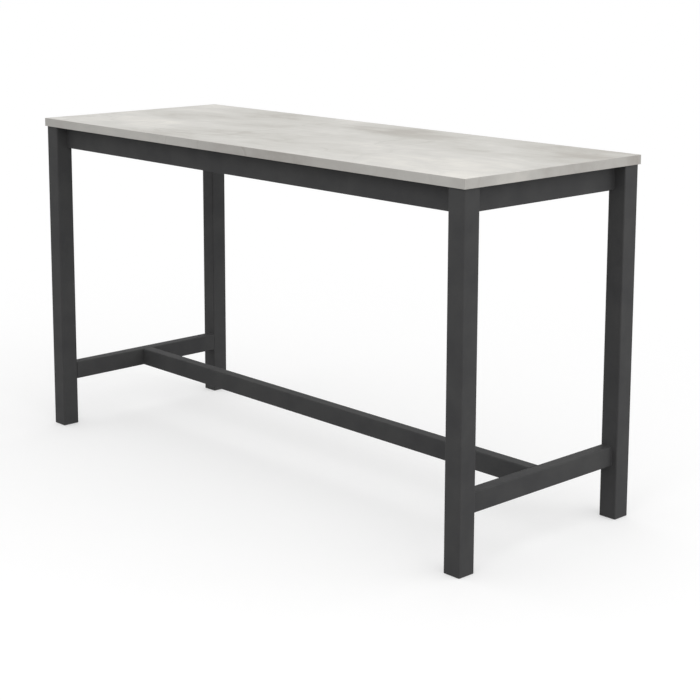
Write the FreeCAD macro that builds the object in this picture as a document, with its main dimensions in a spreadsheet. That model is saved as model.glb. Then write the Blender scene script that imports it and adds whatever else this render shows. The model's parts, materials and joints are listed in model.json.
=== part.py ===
import FreeCAD, Part
import os
import Sketcher

# Standing meeting table: a laminated board top on a knock-down frame of square steel tube, with
# a levelling foot hidden in the mouth of each leg.
# Millimetres, +Z up. The origin is on the floor under the middle of the top. +X runs along the
# table and -Y is its front.

Vector = FreeCAD.Vector
Rotation = FreeCAD.Rotation

doc = FreeCAD.newDocument("standing_meeting_table")
sheet = doc.addObject("Spreadsheet::Sheet", "sizes")

# ---------------------------------------------------------------- driving dimensions

SIZES = [
    ("top_length", 2000, "table top, along X"),
    ("top_depth", 750, "table top, along Y"),
    ("table_height", 1100, "floor to the face of the top"),
    ("core_thickness", 27, "particle board"),
    ("laminate_thickness", 0.5, "face and backing sheets"),
    ("band_thickness", 2, "edge band"),
    ("band_radius", 1, "rounded arris of the edge band"),
    ("overhang", 5, "top past the outer faces of the legs"),
    ("leg_width", 60, "square leg tube"),
    ("leg_wall", 2, "leg tube"),
    ("leg_corner", 4, "outer corner of the leg tube"),
    ("foot_gap", 2, "floor to the end of a leg"),
    ("cap_thickness", 3, "plate that closes the top of a leg"),
    ("cap_corner", 3, "corner of that plate"),
    ("rail_height", 75, "rails under the top"),
    ("rail_width", 20, "rails under the top"),
    ("rail_wall", 1.5, "rails under the top, and centre brace"),
    ("rail_corner", 2.5, "rails under the top, and centre brace"),
    ("brace_width", 40, "centre brace, lying flat"),
    ("brace_height", 20, "centre brace, lying flat"),
    ("low_height", 60, "low end rails and stretcher"),
    ("low_width", 40, "low end rails and stretcher"),
    ("low_wall", 2, "low end rails and stretcher"),
    ("low_corner", 4, "low end rails and stretcher"),
    ("low_bottom", 164, "floor to the underside of the low rails"),
    ("plate_thickness", 3, "corner brackets and fixing tabs"),
    ("bracket_arm", 100, "corner bracket, along each rail"),
    ("bracket_drop", 60, "corner bracket, down the rails"),
    ("bracket_hole", 45, "hole in the web, from each rail"),
    ("bolt_near", 35, "first bracket bolt, from the leg"),
    ("bolt_far", 80, "second bracket bolt, from the leg"),
    ("bolt_drop", 40, "bracket bolts, below the top"),
    ("tab_length", 40, "fixing tab, along its rail"),
    ("tab_reach", 30, "fixing tab, out from its rail"),
    ("tab_hole", 15, "hole in a tab, from its rail"),
    ("tab_offset", 470, "tabs on the long rails, from the middle"),
    ("brace_hole", 200, "holes in the brace, from the middle"),
    ("spigot_clearance", 0.2, "spigot inside the stretcher, each side"),
    ("spigot_wall", 3, "spigot tube"),
    ("spigot_length", 70, "spigot tube"),
    ("thread_radius", 3, "M6 screws and bolts"),
    ("thread_clearance", 0.5, "M6 screw in a plain hole, each side"),
    ("head_radius", 5.5, "seat of an M6 button head"),
    ("crown_radius", 3.6, "crown of an M6 button head"),
    ("head_height", 3.3, "M6 button head"),
    ("socket_radius", 2.3, "hexagon socket, middle to corner"),
    ("socket_depth", 2, "hexagon socket"),
    ("insert_radius", 5, "threaded insert in the board"),
    ("insert_length", 13, "threaded insert in the board"),
    ("insert_hole", 14.5, "depth of the hole for an insert"),
    ("screw_bite", 11, "length of a screw inside its insert"),
    ("bolt_length", 14, "bracket bolt, under its head"),
    ("rivet_radius", 4.5, "rivet nut in a rail"),
    ("rivet_length", 12, "rivet nut in a rail"),
    ("nut_radius", 5.77, "M6 weld nut, middle to corner"),
    ("nut_height", 5, "M6 weld nut"),
    ("plug_base", 8, "floor to the underside of a leg plug"),
    ("plug_height", 22, "leg plug"),
    ("plug_wall", 3, "leg plug"),
    ("plug_floor", 5, "leg plug"),
    ("plug_corner", 3, "corner of the leg plug"),
    ("boss_radius", 12, "boss in the leg plug"),
    ("bush_radius", 8, "threaded bush in the boss"),
    ("bush_length", 15, "threaded bush in the boss"),
    ("stud_radius", 5, "M10 levelling stud"),
    ("stud_fit", 0.05, "stud in its bush, each side"),
    ("stud_clearance", 0.5, "stud in the floor of the plug, each side"),
    ("stud_top", 44, "floor to the top of the stud"),
    ("stud_chamfer", 1, "top of the stud"),
    ("flange_radius", 9, "flange at the foot of the stud"),
    ("flange_base", 2.1, "floor to the underside of the flange"),
    ("flange_height", 3, "flange at the foot of the stud"),
    ("key_radius", 2.89, "socket of the stud, middle to corner"),
    ("key_depth", 4, "socket of the stud"),
    ("pad_radius", 23, "levelling pad"),
    ("pad_height", 7.7, "levelling pad"),
    ("pad_bevel", 1.5, "upper edge of the levelling pad"),
    ("pad_hole", 4.5, "radius of the hole for the key"),
    ("swivel_clearance", 0.1, "flange of the stud inside the pad"),
]

for row, (alias, value, meaning) in enumerate(SIZES, start=1):
    sheet.set(f"A{row}", meaning)
    sheet.set(f"B{row}", str(value))
    sheet.setAlias(f"B{row}", alias)
doc.recompute()

# Places that many pieces share, as formulas on the sheet.
TOP_THICKNESS = "(sizes.core_thickness + 2 * sizes.laminate_thickness)"
UNDERSIDE = f"(sizes.table_height - {TOP_THICKNESS})"
CORE_LENGTH = "(sizes.top_length - 2 * sizes.band_thickness)"
CORE_DEPTH = "(sizes.top_depth - 2 * sizes.band_thickness)"
LEG_MID_X = "(sizes.top_length / 2 - sizes.overhang - sizes.leg_width / 2)"
LEG_MID_Y = "(sizes.top_depth / 2 - sizes.overhang - sizes.leg_width / 2)"
LEG_IN_X = f"({LEG_MID_X} - sizes.leg_width / 2)"
LEG_IN_Y = f"({LEG_MID_Y} - sizes.leg_width / 2)"
LEG_LENGTH = f"({UNDERSIDE} - sizes.foot_gap)"
LEG_HOLLOW = "(sizes.leg_width - 2 * sizes.leg_wall)"
LOW_MIDDLE = "(sizes.low_bottom + sizes.low_height / 2)"
SPIGOT_X = f"({LEG_IN_X} - sizes.spigot_length / 2)"
SCREW_HOLE = "(sizes.thread_radius + sizes.thread_clearance)"

# Sides of the table: a name and a sign. Front and rear lie along Y, left and right along X.
LONG_SIDES = [("front", -1), ("rear", 1)]
ENDS = [("left", -1), ("right", 1)]

# Turns about Z that bring a piece made for the front, the right end and so on to its place.
SIDE_TURNS = {"front": 0, "right": 90, "rear": 180, "left": 270}

# Corners: a name, the signs of X and Y, and the turn that brings a piece made for the front left
# corner to this one.
CORNERS = [
    ("front_left", -1, -1, 0),
    ("front_right", 1, -1, 90),
    ("rear_right", 1, 1, 180),
    ("rear_left", -1, 1, 270),
]

QUARTER_TURN = 90
RIGHT_ANGLE = 1.5707963267948966
HEXAGON = 6

sub_parts = []


# ---------------------------------------------------------------- helpers

def value(formula):
    """What a formula on the sheet comes to."""
    return sheet.evalExpression(formula)


def signed(side, formula):
    """A formula on one side of the middle: side is -1 or 1."""
    return f"{side} * {formula}"


def about(axis, degrees):
    """A turn about X, Y or Z."""
    direction = {"x": Vector(1, 0, 0), "y": Vector(0, 1, 0), "z": Vector(0, 0, 1)}[axis]
    return Rotation(direction, degrees)


UPRIGHT = about("z", 0)
TOWARDS_SIDE = {"front": about("x", QUARTER_TURN), "rear": about("x", -QUARTER_TURN)}


def bind(item, **formulas):
    """Bind properties of an object to formulas on the sheet."""
    for name, formula in formulas.items():
        item.setExpression(name, formula)


def place(item, x="0", y="0", z="0", turn=UPRIGHT):
    """Turn an object about its own origin, then move that origin by three formulas."""
    item.Placement = FreeCAD.Placement(Vector(), turn)
    item.setExpression("Placement.Base.x", x)
    item.setExpression("Placement.Base.y", y)
    item.setExpression("Placement.Base.z", z)


def keep(item, label):
    """Mark a finished sub-part: its label names its node and its file."""
    item.Label = label
    sub_parts.append(item)


def box(name, length, width, height, z):
    """A block centred on the Z axis, standing at the given level."""
    block = doc.addObject("Part::Box", name)
    bind(block, Length=length, Width=width, Height=height)
    place(block, f"-{length} / 2", f"-{width} / 2", z)
    return block


def cylinder(name, radius, height, x="0", y="0", z="0"):
    """A round bar that stands on the given point."""
    bar = doc.addObject("Part::Cylinder", name)
    bind(bar, Radius=radius, Height=height)
    place(bar, x, y, z)
    return bar


def hexagon(name, radius, height, z="0"):
    """A hexagonal bar that stands on the Z axis."""
    bar = doc.addObject("Part::Prism", name)
    bar.Polygon = HEXAGON
    bind(bar, Circumradius=radius, Height=height)
    place(bar, z=z)
    return bar


def cut(name, base, tool):
    """One object less another."""
    result = doc.addObject("Part::Cut", name)
    result.Base = base
    result.Tool = tool
    return result


def group(name, items):
    """Separate solids in one object."""
    result = doc.addObject("Part::Compound", name)
    result.Links = items
    return result


def sleeve(name, radius, bore, length, x="0", y="0", z="0", turn=UPRIGHT):
    """A plain ring: from the given point, its length runs along the turned Z axis."""
    blank = cylinder(f"{name}_blank", radius, length)
    ring = cut(name, blank, cylinder(f"{name}_bore", bore, length))
    place(ring, x, y, z, turn)
    return ring


def button_screw(name, length, x, y, z, turn=UPRIGHT):
    """An M6 button-head screw: from the seat of its head, its shank runs along the turned Z."""
    head = doc.addObject("Part::Cone", f"{name}_head")
    bind(head, Radius1="sizes.crown_radius", Radius2="sizes.head_radius",
         Height="sizes.head_height")
    place(head, z="-sizes.head_height")
    blank = doc.addObject("Part::Fuse", f"{name}_blank")
    blank.Base = head
    blank.Tool = cylinder(f"{name}_shank", "sizes.thread_radius", length)
    socket = hexagon(f"{name}_socket", "sizes.socket_radius", "sizes.socket_depth",
                     "-sizes.head_height")
    screw = cut(name, blank, socket)
    place(screw, x, y, z, turn)
    return screw


def body_named(label):
    """An empty body, marked as a sub-part."""
    body = doc.addObject("PartDesign::Body", label)
    keep(body, label)
    return body


def sketch_on(body, plane, name):
    """A sketch on one of the body's own origin planes: XY, XZ or YZ.

    Its axes are the plane's two letters. Its normal is +Z, -Y or +X.
    """
    sketch = body.newObject("Sketcher::SketchObject", name)
    role = f"{plane}_Plane"
    found = [item for item in body.Origin.OriginFeatures if item.Role == role]
    sketch.AttachmentSupport = [(found[0], "")]
    sketch.MapMode = "FlatFace"
    return sketch


def link(sketch, kind, *ends):
    """Add a constraint that has no size."""
    sketch.addConstraint(Sketcher.Constraint(kind, *ends))


def dimension(sketch, name, formula, kind, *ends):
    """Add a named dimension to a sketch and bind it to a formula."""
    index = sketch.addConstraint(Sketcher.Constraint(kind, *ends, value(formula)))
    sketch.renameConstraint(index, name)
    sketch.setExpression(f"Constraints.{name}", formula)


def draw_circle(sketch, name, radius, x="0", y="0"):
    """A circle at the given distances from the sketch's origin."""
    centre = Vector(value(x), value(y), 0)
    circle = sketch.addGeometry(Part.Circle(centre, Vector(0, 0, 1), value(radius)))
    dimension(sketch, f"{name}_radius", radius, "Radius", circle)
    dimension(sketch, f"{name}_x", x, "DistanceX", -1, 1, circle, 3)
    dimension(sketch, f"{name}_y", y, "DistanceY", -1, 1, circle, 3)


def draw_outline(sketch, corners):
    """A closed outline of straight lines through corners, each a pair of formulas."""
    points = [Vector(value(x), value(y), 0) for x, y in corners]
    first = sketch.GeometryCount
    count = len(corners)
    for number in range(count):
        following = points[(number + 1) % count]
        sketch.addGeometry(Part.LineSegment(points[number], following))
    for number in range(count):
        following = first + (number + 1) % count
        link(sketch, "Coincident", first + number, 2, following, 1)
    for number, (x, y) in enumerate(corners):
        line = first + number
        dimension(sketch, f"corner_{number}_x", x, "DistanceX", -1, 1, line, 1)
        dimension(sketch, f"corner_{number}_y", y, "DistanceY", -1, 1, line, 1)


def draw_rounded_rectangle(sketch, name, width, height, radius):
    """A rectangle with round corners about the sketch's origin."""
    r = value(radius)
    right = value(width) / 2
    top = value(height) / 2
    # Each side in turn, anticlockwise from the bottom, then the corner that follows it.
    sides = [
        (Vector(-right + r, -top, 0), Vector(right - r, -top, 0)),
        (Vector(right, -top + r, 0), Vector(right, top - r, 0)),
        (Vector(right - r, top, 0), Vector(-right + r, top, 0)),
        (Vector(-right, top - r, 0), Vector(-right, -top + r, 0)),
    ]
    centres = [
        Vector(right - r, -top + r, 0),
        Vector(right - r, top - r, 0),
        Vector(-right + r, top - r, 0),
        Vector(-right + r, -top + r, 0),
    ]
    lines = []
    arcs = []
    for number, (start, end) in enumerate(sides):
        lines.append(sketch.addGeometry(Part.LineSegment(start, end)))
        circle = Part.Circle(centres[number], Vector(0, 0, 1), r)
        angle = (number - 1) * RIGHT_ANGLE
        corner = Part.ArcOfCircle(circle, angle, angle + RIGHT_ANGLE)
        arcs.append(sketch.addGeometry(corner))
    for number, line in enumerate(lines):
        following = lines[(number + 1) % len(lines)]
        link(sketch, "Tangent", line, 2, arcs[number], 1)
        link(sketch, "Tangent", arcs[number], 2, following, 1)
        link(sketch, ("Horizontal", "Vertical")[number % 2], line)
    for arc in arcs[1:]:
        link(sketch, "Equal", arcs[0], arc)
    link(sketch, "Symmetric", arcs[0], 3, arcs[2], 3, -1, 1)
    bottom, right_side, top_side, left_side = lines
    dimension(sketch, f"{name}_corner", radius, "Radius", arcs[0])
    dimension(sketch, f"{name}_width", width, "DistanceX", left_side, 1, right_side, 1)
    dimension(sketch, f"{name}_height", height, "DistanceY", bottom, 1, top_side, 1)


def extrude(body, sketch, length, kind="Pad", side="One side", flip=False):
    """Pad a sketch, or pocket it, by a formula.

    A pad follows the normal of the sketch and a pocket goes against it, unless flipped. A pocket
    that takes nothing away stops the script.
    """
    before = body.Tip.Shape.Volume if kind == "Pocket" else 0
    feature = body.newObject(f"PartDesign::{kind}", f"{sketch.Label}_{kind.lower()}")
    feature.Profile = sketch
    feature.SideType = side
    feature.Reversed = flip
    bind(feature, Length=length)
    doc.recompute()
    if kind == "Pocket" and feature.Shape.Volume >= before:
        raise RuntimeError(f"{feature.Label} cuts nothing")
    return feature


def revolve(body, sketch):
    """Turn a half section, drawn on the XZ plane, once about the Z axis."""
    feature = body.newObject("PartDesign::Revolution", f"{sketch.Label}_turned")
    feature.Profile = sketch
    feature.ReferenceAxis = (sketch, ["V_Axis"])
    doc.recompute()


SECTION_PLANES = {"x": "YZ", "y": "XZ", "z": "XY"}


def tube(label, axis, width, height, wall, corner, length):
    """A rectangular tube about its body's origin, along X, Y or Z."""
    body = body_named(label)
    section = sketch_on(body, SECTION_PLANES[axis], f"{label}_section")
    draw_rounded_rectangle(section, "outside", width, height, corner)
    draw_rounded_rectangle(section, "inside", f"{width} - 2 * {wall}", f"{height} - 2 * {wall}",
                           f"{corner} - {wall}")
    extrude(body, section, length, side="Symmetric")
    return body


# ---------------------------------------------------------------- where the top is held down

BRACKET_X = f"({LEG_IN_X} - sizes.bracket_hole)"
BRACKET_Y = f"({LEG_IN_Y} - sizes.bracket_hole)"
TAB_Y = f"({LEG_IN_Y} - sizes.tab_hole)"
END_TAB_X = f"({LEG_IN_X} - sizes.tab_hole)"

# Points where a screw passes through a bracket or a tab.
plate_points = []
for _, side_x, side_y, _ in CORNERS:
    plate_points.append((signed(side_x, BRACKET_X), signed(side_y, BRACKET_Y)))
for _, side_x in ENDS:
    plate_points.append((signed(side_x, END_TAB_X), "0"))
    for _, side_y in LONG_SIDES:
        plate_points.append((signed(side_x, "sizes.tab_offset"), signed(side_y, TAB_Y)))

# Points where a longer screw passes through the centre brace.
brace_points = []
for _, side_y in LONG_SIDES:
    brace_points.append(("0", signed(side_y, "sizes.brace_hole")))


# ---------------------------------------------------------------- table top

def make_board():
    """The core board between its face and backing laminates, with threaded inserts below."""
    holes = []
    inserts = []
    for number, (x, y) in enumerate(plate_points + brace_points, start=1):
        holes.append(cylinder(f"insert_hole_{number}", "sizes.insert_radius",
                              "sizes.insert_hole", x, y, UNDERSIDE))
        inserts.append(sleeve(f"insert_{number}", "sizes.insert_radius", "sizes.thread_radius",
                              "sizes.insert_length", x, y, UNDERSIDE))
    drilling = group("insert_holes", holes)
    core = box("core_blank", CORE_LENGTH, CORE_DEPTH, "sizes.core_thickness",
               f"{UNDERSIDE} + sizes.laminate_thickness")
    backing = box("backing_blank", CORE_LENGTH, CORE_DEPTH, "sizes.laminate_thickness",
                  UNDERSIDE)
    face = box("face", CORE_LENGTH, CORE_DEPTH, "sizes.laminate_thickness",
               "sizes.table_height - sizes.laminate_thickness")
    keep(cut("core", core, drilling), "top_core_board")
    keep(cut("backing", backing, drilling), "top_backing_laminate")
    keep(face, "top_face_laminate")
    keep(group("inserts", inserts), "top_threaded_inserts")


def make_edge_band(name, length, x, y):
    """A strip along one side of the board, with its two outer arrises rounded."""
    label = f"edge_band_{name}"
    body = body_named(label)
    section = sketch_on(body, "YZ", f"{label}_section")
    thick = value("sizes.band_thickness")
    tall = value(TOP_THICKNESS)
    r = value("sizes.band_radius")
    z_axis = Vector(0, 0, 1)
    inner = section.addGeometry(Part.LineSegment(Vector(thick, tall, 0), Vector(thick, 0, 0)))
    bottom = section.addGeometry(Part.LineSegment(Vector(thick, 0, 0), Vector(r, 0, 0)))
    low_circle = Part.Circle(Vector(r, r, 0), z_axis, r)
    low_arris = section.addGeometry(
        Part.ArcOfCircle(low_circle, 2 * RIGHT_ANGLE, 3 * RIGHT_ANGLE))
    outer = section.addGeometry(Part.LineSegment(Vector(0, r, 0), Vector(0, tall - r, 0)))
    high_circle = Part.Circle(Vector(r, tall - r, 0), z_axis, r)
    high_arris = section.addGeometry(
        Part.ArcOfCircle(high_circle, RIGHT_ANGLE, 2 * RIGHT_ANGLE))
    top = section.addGeometry(Part.LineSegment(Vector(r, tall, 0), Vector(thick, tall, 0)))
    link(section, "Coincident", inner, 2, bottom, 1)
    link(section, "Coincident", top, 2, inner, 1)
    link(section, "Tangent", bottom, 2, low_arris, 2)
    link(section, "Tangent", low_arris, 1, outer, 1)
    link(section, "Tangent", outer, 2, high_arris, 2)
    link(section, "Tangent", high_arris, 1, top, 1)
    link(section, "Vertical", inner)
    link(section, "Vertical", outer)
    link(section, "Horizontal", bottom)
    link(section, "Horizontal", top)
    link(section, "Equal", low_arris, high_arris)
    link(section, "PointOnObject", outer, 1, -2)
    link(section, "PointOnObject", bottom, 1, -1)
    dimension(section, "arris", "sizes.band_radius", "Radius", low_arris)
    dimension(section, "thickness", "sizes.band_thickness", "DistanceX", outer, 1, bottom, 1)
    dimension(section, "height", TOP_THICKNESS, "DistanceY", inner, 2, inner, 1)
    extrude(body, section, length, side="Symmetric")
    place(body, x, y, UNDERSIDE, about("z", SIDE_TURNS[name]))


def make_edge_bands():
    """Long bands front and rear, short bands between them."""
    for name, side in LONG_SIDES:
        make_edge_band(name, "sizes.top_length", "0", signed(side, "sizes.top_depth / 2"))
    for name, side in ENDS:
        make_edge_band(name, CORE_DEPTH, signed(side, "sizes.top_length / 2"), "0")


# ---------------------------------------------------------------- frame

def make_legs():
    """Four square tubes, each closed under the top by a welded plate."""
    for corner, side_x, side_y, _ in CORNERS:
        x = signed(side_x, LEG_MID_X)
        y = signed(side_y, LEG_MID_Y)
        leg = tube(f"leg_{corner}", "z", "sizes.leg_width", "sizes.leg_width",
                   "sizes.leg_wall", "sizes.leg_corner", LEG_LENGTH)
        place(leg, x, y, f"sizes.foot_gap + {LEG_LENGTH} / 2")
        cap = body_named(f"leg_cap_{corner}")
        outline = sketch_on(cap, "XY", f"leg_cap_{corner}_outline")
        draw_rounded_rectangle(outline, "plate", LEG_HOLLOW, LEG_HOLLOW, "sizes.cap_corner")
        extrude(cap, outline, "sizes.cap_thickness", flip=True)
        place(cap, x, y, UNDERSIDE)


def make_top_rails():
    """The rails under the top: their inner faces are flush with those of the legs."""
    level = f"{UNDERSIDE} - sizes.rail_height / 2"
    for name, side in LONG_SIDES:
        label = f"top_rail_{name}"
        rail = tube(label, "x", "sizes.rail_width", "sizes.rail_height", "sizes.rail_wall",
                    "sizes.rail_corner", f"2 * {LEG_IN_X}")
        holes = sketch_on(rail, "XZ", f"{label}_rivet_holes")
        for end, end_side in ENDS:
            for bolt in ("bolt_near", "bolt_far"):
                draw_circle(holes, f"{end}_{bolt}", "sizes.rivet_radius",
                            signed(end_side, f"({LEG_IN_X} - sizes.{bolt})"),
                            "sizes.rail_height / 2 - sizes.bolt_drop")
        extrude(rail, holes, "sizes.rail_width", kind="Pocket")
        place(rail, y=signed(side, f"({LEG_IN_Y} + sizes.rail_width / 2)"), z=level,
              turn=about("z", SIDE_TURNS[name]))
    for name, side in ENDS:
        rail = tube(f"top_rail_{name}", "y", "sizes.rail_width", "sizes.rail_height",
                    "sizes.rail_wall", "sizes.rail_corner", f"2 * {LEG_IN_Y}")
        place(rail, x=signed(side, f"({LEG_IN_X} + sizes.rail_width / 2)"), z=level)


def make_centre_brace():
    """A tube laid flat between the long rails, drilled through for two screws."""
    brace = tube("centre_brace", "y", "sizes.brace_width", "sizes.brace_height",
                 "sizes.rail_wall", "sizes.rail_corner", f"2 * {LEG_IN_Y}")
    holes = sketch_on(brace, "XY", "centre_brace_holes")
    for name, side in LONG_SIDES:
        draw_circle(holes, name, SCREW_HOLE, "0", signed(side, "sizes.brace_hole"))
    extrude(brace, holes, "2 * sizes.brace_height", kind="Pocket", side="Symmetric")
    place(brace, z=f"{UNDERSIDE} - sizes.brace_height / 2")


def make_low_frame():
    """The low end rails, and the stretcher between them with a screw hole near each end."""
    for name, side in ENDS:
        rail = tube(f"low_rail_{name}", "y", "sizes.low_width", "sizes.low_height",
                    "sizes.low_wall", "sizes.low_corner", f"2 * {LEG_IN_Y}")
        place(rail, x=signed(side, f"({LEG_IN_X} + sizes.low_width / 2)"), z=LOW_MIDDLE)
    stretcher = tube("stretcher", "x", "sizes.low_width", "sizes.low_height",
                     "sizes.low_wall", "sizes.low_corner", f"2 * {LEG_IN_X}")
    holes = sketch_on(stretcher, "XY", "stretcher_holes")
    for name, side in ENDS:
        draw_circle(holes, name, SCREW_HOLE, signed(side, SPIGOT_X))
    extrude(stretcher, holes, "sizes.low_height", kind="Pocket")
    place(stretcher, z=LOW_MIDDLE)


def make_spigots():
    """Short tubes welded to the low end rails: the ends of the stretcher slide over them."""
    slack = "2 * (sizes.low_wall + sizes.spigot_clearance)"
    for name, side in ENDS:
        label = f"stretcher_spigot_{name}"
        spigot = tube(label, "x", f"(sizes.low_width - {slack})",
                      f"(sizes.low_height - {slack})", "sizes.spigot_wall",
                      "sizes.low_corner", "sizes.spigot_length")
        hole = sketch_on(spigot, "XY", f"{label}_hole")
        draw_circle(hole, "screw", SCREW_HOLE)
        extrude(spigot, hole, "sizes.low_height", kind="Pocket")
        place(spigot, x=signed(side, SPIGOT_X), z=LOW_MIDDLE)


# ---------------------------------------------------------------- brackets and tabs

def add_flange(bracket, name, plane, bolted):
    """One flange of a corner bracket, down the face of a rail, on the XZ or the YZ plane."""
    outline = sketch_on(bracket, plane, name)
    draw_outline(outline, [
        ("0", "0"), ("sizes.bracket_arm", "0"),
        ("sizes.bracket_arm", "-sizes.bracket_drop"), ("0", "-sizes.bracket_drop"),
    ])
    if bolted:
        for bolt in ("bolt_near", "bolt_far"):
            draw_circle(outline, bolt, SCREW_HOLE, f"sizes.{bolt}", "-sizes.bolt_drop")
    extrude(bracket, outline, "sizes.plate_thickness", flip=plane == "XZ")


def make_corner_brackets():
    """Bent plates in the top corners: welded to the end rails, bolted to the long rails."""
    for corner, side_x, side_y, turn in CORNERS:
        label = f"corner_bracket_{corner}"
        bracket = body_named(label)
        web = sketch_on(bracket, "XY", f"{label}_web")
        draw_outline(web, [
            ("0", "0"), ("sizes.bracket_arm", "0"),
            ("sizes.bracket_arm", "sizes.plate_thickness"),
            ("sizes.plate_thickness", "sizes.bracket_arm"), ("0", "sizes.bracket_arm"),
        ])
        draw_circle(web, "fixing", SCREW_HOLE, "sizes.bracket_hole", "sizes.bracket_hole")
        extrude(bracket, web, "sizes.plate_thickness", flip=True)
        # A quarter turn swaps the two flanges, and the bolts stay with the long rail.
        swapped = turn % (2 * QUARTER_TURN) != 0
        add_flange(bracket, f"{label}_flange_x", "XZ", bolted=not swapped)
        add_flange(bracket, f"{label}_flange_y", "YZ", bolted=swapped)
        place(bracket, signed(side_x, LEG_IN_X), signed(side_y, LEG_IN_Y), UNDERSIDE,
              about("z", turn))


def make_fixing_tab(name, x, y, side_name):
    """A plate welded under the top to the inner face of a rail, with one hole."""
    label = f"fixing_tab_{name}"
    tab = body_named(label)
    outline = sketch_on(tab, "XY", f"{label}_outline")
    draw_outline(outline, [
        ("-sizes.tab_length / 2", "0"), ("sizes.tab_length / 2", "0"),
        ("sizes.tab_length / 2", "sizes.tab_reach"),
        ("-sizes.tab_length / 2", "sizes.tab_reach"),
    ])
    draw_circle(outline, "fixing", SCREW_HOLE, "0", "sizes.tab_hole")
    extrude(tab, outline, "sizes.plate_thickness", flip=True)
    place(tab, x, y, UNDERSIDE, about("z", SIDE_TURNS[side_name]))


def make_fixing_tabs():
    """Two tabs on each long rail and one on each end rail."""
    for end, side_x in ENDS:
        make_fixing_tab(end, signed(side_x, LEG_IN_X), "0", end)
        for name, side_y in LONG_SIDES:
            make_fixing_tab(f"{name}_{end}", signed(side_x, "sizes.tab_offset"),
                            signed(side_y, LEG_IN_Y), name)


# ---------------------------------------------------------------- fasteners

def make_top_screws():
    """Screws up through the brackets, the tabs and the brace into the inserts of the top."""
    plate_screws = []
    for number, (x, y) in enumerate(plate_points, start=1):
        plate_screws.append(button_screw(
            f"plate_screw_{number}", "sizes.plate_thickness + sizes.screw_bite", x, y,
            f"{UNDERSIDE} - sizes.plate_thickness"))
    keep(group("plate_screws", plate_screws), "top_screws")
    long_screws = []
    for number, (x, y) in enumerate(brace_points, start=1):
        long_screws.append(button_screw(
            f"brace_screw_{number}", "sizes.brace_height + sizes.screw_bite", x, y,
            f"{UNDERSIDE} - sizes.brace_height"))
    keep(group("long_screws", long_screws), "brace_screws")


def make_bracket_bolts():
    """Bolts through the bracket flanges into rivet nuts in the long rails."""
    bolts = []
    rivet_nuts = []
    for name, side_y in LONG_SIDES:
        face = signed(side_y, LEG_IN_Y)
        seat = signed(side_y, f"({LEG_IN_Y} - sizes.plate_thickness)")
        for end, side_x in ENDS:
            for bolt in ("bolt_near", "bolt_far"):
                x = signed(side_x, f"({LEG_IN_X} - sizes.{bolt})")
                z = f"{UNDERSIDE} - sizes.bolt_drop"
                place_name = f"{name}_{end}_{bolt}"
                bolts.append(button_screw(f"screw_{place_name}", "sizes.bolt_length",
                                          x, seat, z, TOWARDS_SIDE[name]))
                rivet_nuts.append(sleeve(f"rivet_nut_{place_name}", "sizes.rivet_radius",
                                         "sizes.thread_radius", "sizes.rivet_length",
                                         x, face, z, TOWARDS_SIDE[name]))
    keep(group("bolts", bolts), "bracket_bolts")
    keep(group("rivet_nuts", rivet_nuts), "rail_rivet_nuts")


def make_stretcher_screws():
    """Screws up through the stretcher into nuts welded inside its spigots."""
    nut_level = "(sizes.low_bottom + sizes.low_wall + sizes.spigot_clearance + sizes.spigot_wall)"
    screws = []
    nuts = []
    for name, side in ENDS:
        x = signed(side, SPIGOT_X)
        screws.append(button_screw(f"stretcher_screw_{name}", "sizes.bolt_length", x, "0",
                                   "sizes.low_bottom"))
        blank = hexagon(f"nut_blank_{name}", "sizes.nut_radius", "sizes.nut_height")
        thread = cylinder(f"nut_thread_{name}", "sizes.thread_radius", "sizes.nut_height")
        nut = cut(f"stretcher_nut_{name}", blank, thread)
        place(nut, x, "0", nut_level)
        nuts.append(nut)
    keep(group("low_screws", screws), "stretcher_screws")
    keep(group("low_nuts", nuts), "stretcher_nuts")


# ---------------------------------------------------------------- levelling feet

def make_leg_plug(corner, x, y):
    """A moulded plug pressed into the leg: walls, a floor, and a boss for the bush.

    The body's origin is on the inside of its floor.
    """
    label = f"foot_plug_{corner}"
    plug = body_named(label)
    block = sketch_on(plug, "XY", f"{label}_block")
    draw_rounded_rectangle(block, "outside", LEG_HOLLOW, LEG_HOLLOW, "sizes.plug_corner")
    blank = extrude(plug, block, "sizes.plug_height - sizes.plug_floor", side="Two sides")
    bind(blank, Length2="sizes.plug_floor")
    hollow = sketch_on(plug, "XY", f"{label}_hollow")
    inside = f"{LEG_HOLLOW} - 2 * sizes.plug_wall"
    draw_rounded_rectangle(hollow, "inside", inside, inside, "sizes.plug_corner")
    draw_circle(hollow, "boss", "sizes.boss_radius")
    extrude(plug, hollow, "sizes.plug_height", kind="Pocket", flip=True)
    seat = sketch_on(plug, "XY", f"{label}_bush_seat")
    draw_circle(seat, "bush", "sizes.bush_radius")
    extrude(plug, seat, "sizes.plug_height", kind="Pocket", flip=True)
    hole = sketch_on(plug, "XY", f"{label}_stud_hole")
    draw_circle(hole, "stud", "sizes.stud_radius + sizes.stud_clearance")
    extrude(plug, hole, "sizes.plug_height", kind="Pocket")
    place(plug, x, y, "sizes.plug_base + sizes.plug_floor")


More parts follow.
